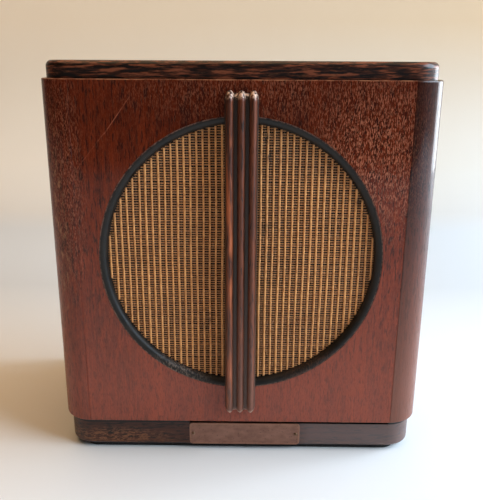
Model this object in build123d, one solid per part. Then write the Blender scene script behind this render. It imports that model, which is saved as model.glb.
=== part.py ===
from build123d import *
import math
import os

# Wooden table loudspeaker of the 1930s: a cabinet with rounded front corners, a round cloth
# grille in a black bezel, a reeded bar down the middle of it, and an eight-inch moving-coil
# driver with its matching transformer inside. A line from a set plugs into the two terminals
# at the back. All sizes are in millimetres.
#
# Frame: X to the right seen from the front, Y from front to back, Z up.
# Origin: the centre of the underside of the base pad.

# Cabinet
WIDTH = 305.0
DEPTH = 178.0
PAD_T = 4.0
BASE_T = 25.0
BODY_H = 282.0
TOP_T = 13.0
BOARD_INSET = 4.0  # the top and base boards sit back from the body by this much
PAD_INSET = 12.5  # and the pad from the base board's sides
PAD_END_INSET = 8.0  # and from the cabinet's front and back
PAD_CORNER_R = 12.0
POST_R = 25.0  # rounded front corners
POST_T = 12.0
PANEL_T = 6.0
SIDE_T = 9.0
ARRIS_R = 1.2  # softened edges of the body, top and bottom
SEAM_DEPTH = 0.3  # V-shaped line where the front panel meets each post
BLOCK_L = 45.0  # glue blocks inside each post
BLOCK_LEVELS = 3
BLOCK_END_GAP = 15.0
TOP_EDGE_R = 4.5
BASE_EDGE_R = 3.0
REBATE_H = 3.5  # open joint above the base board, from the plate's left end to the right corner
REBATE_DEPTH = 2.0

FRONT = -DEPTH / 2
BACK = DEPTH / 2
Z_BODY = PAD_T + BASE_T
Z_TOP = Z_BODY + BODY_H
SEAM_X = WIDTH / 2 - POST_R  # where the front panel meets the corner posts
SIDE_X = WIDTH / 2 - SIDE_T  # inner faces of the side panels

# Round grille
GRILLE_Z = Z_BODY + 144.6
OPEN_R = 111.7  # hole in the front panel
LIP_FLAT = 1.4  # flat rim of the bezel, outside its rounded lip
LIP_DEPTH = 5.0
GRILLE_R = 105.6  # clear opening inside the bezel
BEZEL_BACKSET = 0.3
CLOTH_T = 0.8
CLOTH_HALF = 115.0
BAFFLE_T = 12.0
BAFFLE_HOLE_R = 91.0
BAFFLE_Y = FRONT + PANEL_T + CLOTH_T  # front face of the sub-baffle
BAFFLE_BACK = BAFFLE_Y + BAFFLE_T

# Reeded bar
BAR_LOW = Z_BODY + 10.5
BAR_HIGH = Z_BODY + 274.5
REED_HALF_W = 3.9
REED_PITCH = 8.7
REED_H = 8.5  # how proud of the panel the reeds stand
REED_NOSE = 8.0  # length of a reed's tapered end
GROOVE_H = 5.0  # how proud the floors of the grooves lie

# Name plate
PLATE_W, PLATE_H, PLATE_T = 95.0, 20.5, 0.9
PLATE_X = 4.0
PLATE_Z = 15.4
PLATE_CORNER_R = 3.2
PLATE_BORDER = 1.5  # raised border, this far above the field inside it
PLATE_SUNK = 0.2
PIN_X = 44.2  # pins either side of the plate's middle

# Back cover and the battens it is screwed to
BACKSET = 12.0
COVER_T = 4.0
COVER_Y = BACK - BACKSET - COVER_T  # front face of the back cover
COVER_GAP = 0.8
BATTEN = 12.0
VENT_R = 6.0
VENT_PITCH = 19.0
VENT_FIELD_R = 82.0

# Driver, in its own lengths along +Y from the front face of its rim
RIM_R = 103.0
RIM_T = 1.2
GASKET_T = 2.4
DRIVER_Y = BAFFLE_BACK + GASKET_T
BOLT_CIRCLE_R = 98.0
BOLT_R = 2.0
BASKET_DEPTH = 45.0
BASKET_REAR_R = 56.0
WINDOW_HALF_W = 34.0  # the four windows between the basket's arms
WINDOW_INNER_R = 40.0
FRAME_OPEN_R = 91.5
REAR_HOLE_R = 30.0
SURROUND_T = 0.4
SURROUND_RIM_R = 96.0
SPIDER_T = 0.5
SPIDER_FRONT = 41.0
SPIDER_WAVES_R = 46.0  # outer end of its corrugations
SPIDER_RIM_R = 52.0
GLUE_GAP = 0.15  # between the moving cone and what it is glued to
MAGNET_R = 44.0
PLATE_DEPTH = 7.0
POLE_R = 12.0
GAP_R = 13.6
COIL_R = 12.45
COIL_WALL = 0.3
COIL_WIRE = 0.4
CONE_R = 83.0
CONE_FRONT = 2.5
CONE_NECK = 38.0
CONE_T = 0.7
POT_END = 98.0
POT_WALL = 7.0
SLUG_R = 20.0

# Matching transformer, on the cabinet's floor
TRAFO_X, TRAFO_Y = 78.0, 18.0
CORE_W, CORE_H, CORE_T = 50.0, 42.0, 20.0
CORE_LIMB, CORE_WINDOW = 8.0, 8.0
CLAMP_T = 1.6
CLAMP_HALF_W = 7.0
LEAD_X = 6.0  # where the leads meet the winding, either side of its middle
LEAD_Z = Z_BODY + 26.0

# Terminals
TERMINAL_X = 14.0
TERMINAL_Z = 62.0
TERMINAL_PANEL_W, TERMINAL_PANEL_H, TERMINAL_PANEL_T = 78.0, 34.0, 2.5
TERMINAL_WINDOW = (25.0, 9.0)  # half width and height of the cover's window behind the strip
STEM_R = 3.0
SOCKET_R = 2.0
SOCKET_DEPTH = 16.0
SOCKET_RECESS = 2.5  # from the outer face of the head to the end of the stem
RUNNING = 0.05  # radial clearance of pieces that turn or slide
HEAD_R = 8.0
HEAD_L = 12.0
FLUTES = 16
FLUTE_R = 1.0
FLUTE_CENTRE_R = HEAD_R + 0.35
COLLAR_R = 5.2
TERMINAL_FACE = COVER_Y + COVER_T + TERMINAL_PANEL_T
BUSH_T, COLLAR_T = 2.5, 1.4

LEAD_D = 2.0

made = {}


# ---- helpers -------------------------------------------------------------------------------


def box(x, y, z):
    """A box from three (low, high) pairs."""
    centre = [(low + high) / 2 for low, high in (x, y, z)]
    return Pos(*centre) * Box(x[1] - x[0], y[1] - y[0], z[1] - z[0])


def rod(radius, y_low, y_high, x=0.0, z=0.0):
    """A cylinder lying along Y."""
    return Pos(x, (y_low + y_high) / 2, z) * Rot(90, 0, 0) * Cylinder(radius, y_high - y_low)


def turned(outline, y=0.0, z=0.0):
    """A solid turned about a line along Y, from a list of (radius, y) points or from edges."""
    edges = Polyline(*outline, close=True) if isinstance(outline, list) else outline
    return Pos(0, y, z) * revolve(make_face(edges), Axis.Y)


def washer(inner_r, outer_r, y_low, y_high):
    """A turned ring between two radii, about the driver's axis; its ends are depths behind the rim."""
    outline = [(inner_r, y_low), (outer_r, y_low), (outer_r, y_high), (inner_r, y_high)]
    return turned(outline, DRIVER_Y, GRILLE_Z)


def mirrored(shape):
    """The same piece on the other side of the cabinet."""
    return mirror(shape, about=Plane.YZ)


def both_sides(shape):
    return Compound(children=[mirrored(shape), shape])


def group(shapes):
    """Identical pieces that share one node."""
    return Compound(children=list(shapes))


def round_head_screw(head_r, head_h, shank_r, length):
    """A slotted round-head screw along -Z, the underside of its head at the origin."""
    point_z = -length + 2 * shank_r
    outline = Polyline((head_r, 0), (shank_r, 0), (shank_r, point_z), (0, -length), (0, head_h))
    dome = ThreePointArc((0, head_h), (head_r * 0.72, head_h * 0.72), (head_r, 0))
    solid = revolve(make_face(Plane.XZ * (outline + dome)), Axis.Z)
    slot = box((-head_r, head_r), (-0.12 * head_r, 0.12 * head_r), (0.55 * head_h, head_h + 1))
    return solid - slot


def flat_head_screw(head_r, head_h, shank_r, length):
    """A slotted countersunk screw along -Z, its flat head flush with the origin."""
    point_z = -length + 2 * shank_r
    outline = [(0, 0), (head_r, 0), (shank_r, -head_h), (shank_r, point_z), (0, -length)]
    solid = revolve(make_face(Plane.XZ * Polyline(*outline, close=True)), Axis.Z)
    slot = box((-head_r, head_r), (-0.12 * head_r, 0.12 * head_r), (-0.45 * head_h, 1))
    return solid - slot


def flat_head_hole(head_r, head_h, shank_r, length, play=0.05):
    """The countersunk hole that flat_head_screw sits in."""
    mouth_r, bore_r, end = head_r + play, shank_r + play, -length - play
    outline = [(0, 0), (mouth_r, 0), (bore_r, -head_h), (bore_r, end), (0, end)]
    return revolve(make_face(Plane.XZ * Polyline(*outline, close=True)), Axis.Z)


HEAD_TO_BACK = Rot(-90, 0, 0)  # turns a screw so that its head faces +Y
HEAD_TO_FRONT = Rot(90, 0, 0)  # and so that it faces -Y


def tube(points, diameter):
    """A wire along straight runs joined by tangent arcs as large as the runs allow."""
    corners = [Vector(*p) for p in points]
    radii = []
    for before, at, after in zip(corners, corners[1:], corners[2:]):
        half_turn = math.radians((at - before).get_angle(after - at)) / 2
        shorter = min((at - before).length, (after - at).length)
        radii.append(0.45 * shorter / math.tan(half_turn))
    path = FilletPolyline(*corners, radius=radii)
    section = Plane(origin=path @ 0, z_dir=path % 0) * Circle(diameter / 2)
    return sweep(section, path=path)


# ---- cabinet -------------------------------------------------------------------------------


def board(z_low, thickness, edge_r, rounded_face):
    """A flat board with rounded front corners, rounded over along the sides and front of one face."""
    half = WIDTH / 2 - BOARD_INSET
    blank = box((-half, half), (FRONT + BOARD_INSET, BACK), (z_low, z_low + thickness))
    blank = fillet(blank.edges().filter_by(Axis.Z).group_by(Axis.Y)[0], POST_R - BOARD_INSET)
    rim = blank.faces().sort_by(Axis.Z)[rounded_face].edges().sort_by(Axis.Y)[:-1]
    return fillet(rim, edge_r)


def base_pad():
    half = WIDTH / 2 - BOARD_INSET - PAD_INSET
    pad = box((-half, half), (FRONT + PAD_END_INSET, BACK - PAD_END_INSET), (0, PAD_T))
    return fillet(pad.edges().filter_by(Axis.Z), PAD_CORNER_R)


def seam_groove():
    """A prism on edge that cuts the V-shaped line between the front panel and the right post."""
    side = SEAM_DEPTH * math.sqrt(2)
    return Pos(SEAM_X, FRONT, (Z_BODY + Z_TOP) / 2) * Rot(0, 0, 45) * Box(side, side, BODY_H + 2)


def front_panel():
    panel = box((-SEAM_X, SEAM_X), (FRONT, FRONT + PANEL_T), (Z_BODY, Z_TOP))
    face_edges = panel.faces().sort_by(Axis.Y)[0].edges()
    panel = fillet(face_edges.filter_by(Axis.X), ARRIS_R)
    panel -= seam_groove()
    panel -= mirrored(seam_groove())
    panel -= rod(OPEN_R, FRONT - 1, FRONT + PANEL_T + 1, z=GRILLE_Z)
    for x, z in baffle_screw_places():
        panel -= Pos(x, BAFFLE_BACK, z) * HEAD_TO_BACK * flat_head_hole(*BAFFLE_SCREW)
    return panel


def corner_post():
    """The right front corner, a quarter of a thick tube."""
    centre = Pos(SEAM_X, FRONT + POST_R, (Z_BODY + Z_TOP) / 2)
    shell = Cylinder(POST_R, BODY_H) - Cylinder(POST_R - POST_T, BODY_H)
    quarter = shell & box((0, POST_R), (-POST_R, 0), (-BODY_H / 2, BODY_H / 2))
    arcs = quarter.edges().filter_by(GeomType.CIRCLE)
    outer = arcs.filter_by(lambda edge: abs(edge.radius - POST_R) < 0.01)
    return centre * fillet(outer, ARRIS_R) - seam_groove()


def side_panel():
    panel = box((SIDE_X, WIDTH / 2), (FRONT + POST_R, BACK), (Z_BODY, Z_TOP))
    return fillet(panel.edges().filter_by(Axis.Y).group_by(Axis.X)[-1], ARRIS_R)


def post_blocks():
    """Quarter-round glue blocks in the hollow of each corner post."""
    radius = POST_R - POST_T - 0.1
    spread = BODY_H - 2 * BLOCK_END_GAP - BLOCK_L
    quarter = box((0, radius), (-radius, 0), (-BLOCK_L / 2, BLOCK_L / 2))
    block = Cylinder(radius, BLOCK_L) & quarter
    blocks = []
    for level in range(BLOCK_LEVELS):
        low = Z_BODY + BLOCK_END_GAP + level * spread / (BLOCK_LEVELS - 1)
        blocks.append(Pos(SEAM_X, FRONT + POST_R, low + BLOCK_L / 2) * block)
    return group(blocks + [mirrored(b) for b in blocks])


# The cleats that hold the top and base boards to the sides, and the screws through them.
CLEAT_Y = (-50.0, 45.0)
CLEAT_SCREW_Y = (-35.0, 30.0)
CLEAT_SCREW_X = SIDE_X - BATTEN / 2
CLEAT_SCREW = (3.4, 2.2, 1.7, 20.0)  # head radius and height, shank radius, length


def cleat(z_low):
    strip = box((SIDE_X - BATTEN, SIDE_X), CLEAT_Y, (z_low, z_low + BATTEN))
    for y in CLEAT_SCREW_Y:
        strip -= cleat_hole(y, z_low)
    return strip


def cleat_location(y, z_low):
    """Screws through the upper cleats point up into the top board, and the lower ones down."""
    if z_low > GRILLE_Z:
        return Pos(CLEAT_SCREW_X, y, z_low) * Rot(180, 0, 0)
    return Pos(CLEAT_SCREW_X, y, z_low + BATTEN)


def cleat_hole(y, z_low):
    return cleat_location(y, z_low) * flat_head_hole(*CLEAT_SCREW)


def cleat_screws():
    levels = (Z_BODY, Z_TOP - BATTEN)
    places = [cleat_location(y, z) for z in levels for y in CLEAT_SCREW_Y]
    screws = [place * flat_head_screw(*CLEAT_SCREW) for place in places]
    return group(screws + [mirrored(s) for s in screws])


def with_cleat_holes(shape, z_low):
    for y in CLEAT_SCREW_Y:
        hole = cleat_hole(y, z_low)
        shape = shape - hole - mirrored(hole)
    return shape


# ---- grille --------------------------------------------------------------------------------


def bezel_ring():
    """The black ring that lines the hole: rounded over from the panel's face down to the cloth."""
    outer = OPEN_R - 0.05
    round_r = outer - LIP_FLAT - GRILLE_R
    lip_back = BEZEL_BACKSET + LIP_DEPTH
    centre = (GRILLE_R + round_r, lip_back)
    curve = EllipticalCenterArc(centre, round_r, LIP_DEPTH, 180, arc_size=90)
    rest = Polyline(
        (GRILLE_R + round_r, BEZEL_BACKSET),
        (outer, BEZEL_BACKSET),
        (outer, PANEL_T),
        (GRILLE_R, PANEL_T),
        (GRILLE_R, lip_back),
    )
    return turned(curve + rest, FRONT, GRILLE_Z)


def nosed_outline(half_w, low, high, nose):
    """Half of a long shape with elliptical noses, to one side of the Y axis."""
    lower = EllipticalCenterArc((0, low + nose), half_w, nose, -90, arc_size=90)
    upper = EllipticalCenterArc((0, high - nose), half_w, nose, 0, arc_size=90)
    straight = Line((half_w, low + nose), (half_w, high - nose))
    return lower + straight + upper + Line((0, high), (0, low))


def reeded_bar():
    """Three reeds with tapered noses, joined by a lower core that is the floor of the grooves."""
    half_reed = make_face(nosed_outline(REED_HALF_W, BAR_LOW, BAR_HIGH, REED_NOSE))
    reed = revolve(Plane.XZ * half_reed, Axis.Z)
    reed = scale(reed, by=(1, REED_H / REED_HALF_W, 1))
    inset = REED_NOSE / 4
    core = make_face(nosed_outline(GROOVE_H, BAR_LOW + inset, BAR_HIGH - inset, 0.8 * REED_NOSE))
    bar = extrude(Plane.YZ * core, REED_PITCH, both=True)
    bar = mirror(bar, about=Plane.XZ)
    for column in (-1, 0, 1):
        bar += Pos(column * REED_PITCH, 0, 0) * reed
    behind = box((-3 * REED_PITCH, 3 * REED_PITCH), (0, 2 * REED_H), (BAR_LOW - 1, BAR_HIGH + 1))
    return Pos(0, FRONT, 0) * (bar - behind)


def grille_cloth():
    y = FRONT + PANEL_T
    height = (GRILLE_Z - CLOTH_HALF, GRILLE_Z + CLOTH_HALF)
    return box((-CLOTH_HALF, CLOTH_HALF), (y, y + CLOTH_T), height)


def baffle_screw_places():
    """Down both edges of the baffle, clear of the cloth."""
    edge = CLOTH_HALF + 6
    return [(x, GRILLE_Z + z) for x in (-edge, edge) for z in (-edge, -edge / 2, edge / 2, edge)]


# Screws are given as head radius and height, shank radius, and length under or with the head.
BAFFLE_SCREW = (3.2, 2.0, 1.5, 15.5)
DRIVER_BOLT = (4.0, 2.2, BOLT_R, BAFFLE_T + GASKET_T + RIM_T + 6.0)


def driver_bolt_places():
    radius = BOLT_CIRCLE_R
    turns = [math.radians(45 + 90 * n) for n in range(4)]
    return [(radius * math.cos(t), GRILLE_Z + radius * math.sin(t)) for t in turns]


def sub_baffle():
    side_gap, end_gap = 0.5, 2.0
    half = SEAM_X - side_gap
    baffle = box((-half, half), (BAFFLE_Y, BAFFLE_BACK), (Z_BODY + end_gap, Z_TOP - end_gap))
    baffle -= rod(BAFFLE_HOLE_R, BAFFLE_Y - 1, BAFFLE_BACK + 1, z=GRILLE_Z)
    for x, z in baffle_screw_places():
        baffle -= Pos(x, BAFFLE_BACK, z) * HEAD_TO_BACK * flat_head_hole(*BAFFLE_SCREW)
    for x, z in driver_bolt_places():
        baffle -= Pos(x, BAFFLE_Y, z) * HEAD_TO_FRONT * flat_head_hole(*DRIVER_BOLT)
    return baffle


def baffle_screws():
    screw = HEAD_TO_BACK * flat_head_screw(*BAFFLE_SCREW)
    return group(Pos(x, BAFFLE_BACK, z) * screw for x, z in baffle_screw_places())


# ---- name plate ----------------------------------------------------------------------------

PIN = (1.6, 1.0, 0.8, 9.0)  # head radius and height, shank radius, length


def plate_face():
    return FRONT + BOARD_INSET - PLATE_T


def name_plate():
    """A blank plate with a raised border and two pins."""
    y = plate_face()
    low_z, high_z = PLATE_Z - PLATE_H / 2, PLATE_Z + PLATE_H / 2
    low_x, high_x = PLATE_X - PLATE_W / 2, PLATE_X + PLATE_W / 2
    plate = box((low_x, high_x), (y, y + PLATE_T), (low_z, high_z))
    plate = fillet(plate.edges().filter_by(Axis.Y), PLATE_CORNER_R)
    plate = chamfer(plate.faces().sort_by(Axis.Y)[0].edges(), 0.25)
    field = box(
        (low_x + PLATE_BORDER, high_x - PLATE_BORDER),
        (y - 1, y + PLATE_SUNK),
        (low_z + PLATE_BORDER, high_z - PLATE_BORDER),
    )
    plate -= fillet(field.edges().filter_by(Axis.Y), PLATE_CORNER_R - PLATE_BORDER)
    for x in (-PIN_X, PIN_X):
        plate -= rod(PIN[2] + 0.05, y - 1, y + PLATE_T + 1, PLATE_X + x, PLATE_Z)
    return plate


def plate_pins():
    seat = plate_face() + PLATE_SUNK
    pin = HEAD_TO_FRONT * round_head_screw(*PIN)
    return group(Pos(PLATE_X + x, seat, PLATE_Z) * pin for x in (-PIN_X, PIN_X))


def base_board():
    """The plinth, with an open joint along part of its upper front edge."""
    blank = board(PAD_T, BASE_T, BASE_EDGE_R, 0)
    front = FRONT + BOARD_INSET
    length = (PLATE_X - PLATE_W / 2, SEAM_X)
    blank -= box(length, (front - 1, front + REBATE_DEPTH), (Z_BODY - REBATE_H, Z_BODY + 1))
    for x in (-PIN_X, PIN_X):
        blank -= rod(PIN[2] + 0.05, FRONT, plate_face() + PIN[3] + 0.5, PLATE_X + x, PLATE_Z)
    for x, y in trafo_screw_places():
        blank -= Pos(x, y, Z_BODY - 5) * Cylinder(TRAFO_SCREW[2] + 0.05, 11)
    return with_cleat_holes(blank, Z_BODY)


def top_board():
    return with_cleat_holes(board(Z_TOP, TOP_T, TOP_EDGE_R, -1), Z_TOP - BATTEN)


# ---- back ----------------------------------------------------------------------------------

COVER_HALF_W = SIDE_X - COVER_GAP
COVER_LOW, COVER_HIGH = Z_BODY + COVER_GAP, Z_TOP - COVER_GAP
BACK_SCREW = (3.0, 1.9, 1.5, 12.0)


def back_screw_places():
    """Three down each side of the cover, and one in the middle of its top and bottom edges."""
    x = SIDE_X - BATTEN / 2
    low, high = Z_BODY + BATTEN / 2 + 6, Z_TOP - BATTEN / 2 - 6
    sides = [(s * x, z) for s in (-1, 1) for z in (low, (low + high) / 2, high)]
    return sides + [(0, Z_BODY + BATTEN / 2), (0, Z_TOP - BATTEN / 2)]


def vent_places():
    """Rows of holes, every other row shifted by half a pitch, inside a circle behind the driver."""
    row_gap = VENT_PITCH * math.sqrt(0.75)
    reach = int(VENT_FIELD_R // row_gap)
    places = []
    for row in range(-reach, reach + 1):
        shift = 0.5 * (row % 2)
        for column in range(-reach, reach + 1):
            x, z = (column + shift) * VENT_PITCH, row * row_gap
            if math.hypot(x, z) <= VENT_FIELD_R:
                places.append((x, GRILLE_Z + z))
    return places


def terminal_places():
    return [-TERMINAL_X, TERMINAL_X]


TERMINAL_PANEL_SCREW = (2.6, 1.6, 1.2, COVER_T + TERMINAL_PANEL_T + 3.0)
TERMINAL_PANEL_SCREW_X = TERMINAL_PANEL_W / 2 - 7.0


def back_cover():
    through = (COVER_Y - 1, COVER_Y + COVER_T + 1)
    sides, thickness = (-COVER_HALF_W, COVER_HALF_W), (COVER_Y, COVER_Y + COVER_T)
    cover = box(sides, thickness, (COVER_LOW, COVER_HIGH))
    cover = fillet(cover.edges().filter_by(Axis.Y), 3)
    cover = chamfer(cover.faces().sort_by(Axis.Y)[-1].edges(), 0.6)
    drill = rod(VENT_R, *through)
    cover -= [Pos(x, 0, z) * drill for x, z in vent_places()]
    screw_hole = rod(BACK_SCREW[2] + 0.05, *through)
    cover -= [Pos(x, 0, z) * screw_hole for x, z in back_screw_places()]
    half_w, half_h = TERMINAL_WINDOW
    window = box((-half_w, half_w), through, (TERMINAL_Z - half_h, TERMINAL_Z + half_h))
    cover -= fillet(window.edges().filter_by(Axis.Y), 4)
    for x in (-TERMINAL_PANEL_SCREW_X, TERMINAL_PANEL_SCREW_X):
        cover -= rod(TERMINAL_PANEL_SCREW[2] + 0.05, *through, x, TERMINAL_Z)
    return cover


def batten(x, z):
    strip = box(x, (COVER_Y - BATTEN, COVER_Y), z)
    for at_x, at_z in back_screw_places():
        strip -= rod(BACK_SCREW[2] + 0.05, COVER_Y - 10, COVER_Y + 1, at_x, at_z)
    return strip


def back_screws():
    screw = HEAD_TO_BACK * round_head_screw(*BACK_SCREW)
    return group(Pos(x, COVER_Y + COVER_T, z) * screw for x, z in back_screw_places())


# ---- terminals -----------------------------------------------------------------------------


def terminal_panel():
    """The insulating strip that carries both terminals."""
    half_w, half_h = TERMINAL_PANEL_W / 2, TERMINAL_PANEL_H / 2
    y = COVER_Y + COVER_T
    height = (TERMINAL_Z - half_h, TERMINAL_Z + half_h)
    strip = box((-half_w, half_w), (y, y + TERMINAL_PANEL_T), height)
    strip = fillet(strip.edges().filter_by(Axis.Y), 3)
    for x in terminal_places():
        strip -= rod(STEM_R + 0.05, y - 1, y + TERMINAL_PANEL_T + 1, x, TERMINAL_Z)
    for x in (-TERMINAL_PANEL_SCREW_X, TERMINAL_PANEL_SCREW_X):
        strip -= rod(TERMINAL_PANEL_SCREW[2] + 0.05, y - 1, y + TERMINAL_PANEL_T + 1, x, TERMINAL_Z)
    return strip


def terminal_panel_screws():
    screw = HEAD_TO_BACK * round_head_screw(*TERMINAL_PANEL_SCREW)
    places = (-TERMINAL_PANEL_SCREW_X, TERMINAL_PANEL_SCREW_X)
    return group(Pos(x, TERMINAL_FACE, TERMINAL_Z) * screw for x in places)


def terminal_bushes():
    """The fixed insulating feet of the terminals."""
    foot = rod(HEAD_R, TERMINAL_FACE, TERMINAL_FACE + BUSH_T)
    foot = fillet(foot.faces().sort_by(Axis.Y)[-1].edges(), 0.6)
    foot -= rod(STEM_R + 0.05, TERMINAL_FACE - 1, TERMINAL_FACE + BUSH_T + 1)
    return group(Pos(x, 0, TERMINAL_Z) * foot for x in terminal_places())


# The ends of each stem: the outer one is inside its head.
STEM_BACK = TERMINAL_FACE + BUSH_T + COLLAR_T + HEAD_L - SOCKET_RECESS
STEM_FRONT = COVER_Y - 7.0


def terminal_stems():
    """Hollow brass stems: each takes a plug in its outer end and a nut on its inner end."""
    socket = rod(SOCKET_R, STEM_BACK - SOCKET_DEPTH, STEM_BACK + 1)
    stem = rod(STEM_R, STEM_FRONT, STEM_BACK) - socket
    return group(Pos(x, 0, TERMINAL_Z) * stem for x in terminal_places())


def hexagon(across_flats, y_low, y_high, bore_r):
    """A hexagonal nut on an axis along Y."""
    outline = RegularPolygon(across_flats / 2, 6, major_radius=False)
    nut = Rot(90, 0, 0) * extrude(outline, (y_high - y_low) / 2, both=True)
    return Pos(0, (y_low + y_high) / 2, 0) * nut - rod(bore_r, y_low - 1, y_high + 1)


def terminal_nuts():
    top = COVER_Y + COVER_T
    nut = hexagon(9.0, top - 3.0, top, STEM_R + 0.05)
    return group(Pos(x, 0, TERMINAL_Z) * nut for x in terminal_places())


def terminal_collar(x):
    """The brass washer held captive under a terminal's head."""
    low = TERMINAL_FACE + BUSH_T
    bore = rod(STEM_R + RUNNING, low - 1, low + COLLAR_T + 1)
    ring = rod(COLLAR_R, low, low + COLLAR_T) - bore
    return Pos(x, 0, TERMINAL_Z) * ring


def terminal_head(x):
    """A fluted moulded head, bored to run on the stem and open at its end for a plug."""
    low = TERMINAL_FACE + BUSH_T + COLLAR_T
    high = low + HEAD_L
    head = rod(HEAD_R, low, high)
    head = fillet(head.faces().sort_by(Axis.Y)[-1].edges(), 1.6)
    head = chamfer(head.faces().sort_by(Axis.Y)[0].edges(), 0.5)
    for n in range(FLUTES):
        turn = 2 * math.pi * n / FLUTES
        x_flute, z_flute = FLUTE_CENTRE_R * math.cos(turn), FLUTE_CENTRE_R * math.sin(turn)
        head -= rod(FLUTE_R, low - 1, high + 1, x_flute, z_flute)
    head -= rod(STEM_R + RUNNING, low - 1, STEM_BACK + 1.0)
    head -= rod(SOCKET_R + 0.5, low, high + 1)
    return Pos(x, 0, TERMINAL_Z) * head


# ---- driver --------------------------------------------------------------------------------


NECK_R = COIL_R + COIL_WALL + 0.05  # where the cone is glued to the former
NECK_FRONT = CONE_NECK - 1.2


def cone_radius(y):
    """Radius of the cone's front surface at a depth behind the rim."""
    share = (y - CONE_FRONT) / (NECK_FRONT - CONE_FRONT)
    return CONE_R + share * (NECK_R - CONE_R)


def driver_gasket():
    """A card ring that sits on the edge of the surround, and on the basket's rim outside that."""
    inner, edge = FRAME_OPEN_R - 0.5, SURROUND_RIM_R + 0.2
    outline = [
        (inner, -GASKET_T),
        (RIM_R, -GASKET_T),
        (RIM_R, 0),
        (edge, 0),
        (edge, -SURROUND_T),
        (inner, -SURROUND_T),
    ]
    gasket = turned(outline, DRIVER_Y, GRILLE_Z)
    for x, z in driver_bolt_places():
        gasket -= rod(BOLT_R + 0.2, BAFFLE_BACK - 1, DRIVER_Y + 1, x, z)
    return gasket


def driver_frame():
    """A pressed-steel basket: a flat rim, four arms, and a flat rear ring for the magnet."""
    outline = [
        (FRAME_OPEN_R, 0),
        (RIM_R, 0),
        (RIM_R, RIM_T),
        (FRAME_OPEN_R + RIM_T, RIM_T),
        (BASKET_REAR_R + RIM_T, BASKET_DEPTH + RIM_T),
        (REAR_HOLE_R, BASKET_DEPTH + RIM_T),
        (REAR_HOLE_R, BASKET_DEPTH),
        (BASKET_REAR_R, BASKET_DEPTH),
        (FRAME_OPEN_R, RIM_T),
    ]
    frame = turned(outline, DRIVER_Y, GRILLE_Z)
    depth = (DRIVER_Y + 7, DRIVER_Y + BASKET_DEPTH - 5)
    window = box((-WINDOW_HALF_W, WINDOW_HALF_W), depth, (WINDOW_INNER_R, RIM_R + 5))
    window = fillet(window.edges().filter_by(Axis.Z), 8)
    for quarter in range(4):
        frame -= Pos(0, 0, GRILLE_Z) * Rot(0, 90 * quarter, 0) * window
    for x, z in driver_bolt_places():
        frame -= rod(BOLT_R + 0.2, DRIVER_Y - 1, DRIVER_Y + RIM_T + 1, x, z)
    return frame


def driver_bolts():
    bolt = HEAD_TO_FRONT * flat_head_screw(*DRIVER_BOLT)
    return group(Pos(x, BAFFLE_Y, z) * bolt for x, z in driver_bolt_places())


def driver_nuts():
    low = DRIVER_Y + RIM_T
    nut = hexagon(7.0, low, low + 3.2, BOLT_R + 0.05)
    return group(Pos(x, 0, z) * nut for x, z in driver_bolt_places())


MAGNET_Y = BASKET_DEPTH + RIM_T  # front face of the front plate, behind the driver's rim


def front_plate():
    return washer(GAP_R, MAGNET_R, MAGNET_Y, MAGNET_Y + PLATE_DEPTH)


def magnet_pot():
    """The steel cup that carries the field from the back of the magnet to the front plate."""
    start = MAGNET_Y + PLATE_DEPTH
    inner, floor, bevel = MAGNET_R - POT_WALL, POT_END - POT_WALL, 3.0
    outline = [
        (0, floor),
        (inner, floor),
        (inner, start),
        (MAGNET_R, start),
        (MAGNET_R, POT_END - bevel),
        (MAGNET_R - bevel, POT_END),
        (0, POT_END),
    ]
    return turned(outline, DRIVER_Y, GRILLE_Z)


POLE_BASE = 60.0
POLE_FLANGE_T = 3.0


def pole_piece():
    """A round pole with a bevelled tip, and a flange that stands on the magnet."""
    tip, bevel = MAGNET_Y - 0.5, 1.0
    outline = [
        (0, tip),
        (POLE_R - bevel, tip),
        (POLE_R, tip + bevel),
        (POLE_R, POLE_BASE),
        (SLUG_R, POLE_BASE),
        (SLUG_R, POLE_BASE + POLE_FLANGE_T),
        (0, POLE_BASE + POLE_FLANGE_T),
    ]
    return turned(outline, DRIVER_Y, GRILLE_Z)


def magnet_slug():
    front, back = POLE_BASE + POLE_FLANGE_T, POT_END - POT_WALL
    outline = [(0, front), (SLUG_R, front), (SLUG_R, back), (0, back)]
    return turned(outline, DRIVER_Y, GRILLE_Z)


FORMER_FRONT = CONE_NECK - 3.0
FORMER_BACK = MAGNET_Y + PLATE_DEPTH + 1.5
COIL_OUTER = COIL_R + COIL_WALL


COIL_HALF_L = 4.2


def coil_former():
    return washer(COIL_R, COIL_OUTER, FORMER_FRONT, FORMER_BACK)


def coil_winding():
    middle = MAGNET_Y + PLATE_DEPTH / 2
    return washer(COIL_OUTER, COIL_OUTER + COIL_WIRE, middle - COIL_HALF_L, middle + COIL_HALF_L)


def cone():
    """A straight paper cone whose neck is glued to the coil former."""
    outline = [
        (CONE_R, CONE_FRONT),
        (NECK_R, NECK_FRONT),
        (NECK_R, CONE_NECK),
        (NECK_R + CONE_T, CONE_NECK),
        (CONE_R, CONE_FRONT + 1.2),
    ]
    return turned(outline, DRIVER_Y, GRILLE_Z)


def dust_cap():
    """A felt dome over the coil, part of a sphere, glued to the cone all round its edge."""
    edge_y, rise, thick = 32.0, 6.5, 0.9
    edge_r = cone_radius(edge_y) - 0.05
    sphere_r = (edge_r**2 + rise**2) / (2 * rise)
    shell = Sphere(sphere_r) - Sphere(sphere_r - thick)
    cap = Pos(0, edge_y - rise + sphere_r, 0) * shell & rod(edge_r, edge_y - 2 * rise, edge_y)
    return Pos(0, DRIVER_Y, GRILLE_Z) * cap


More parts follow.
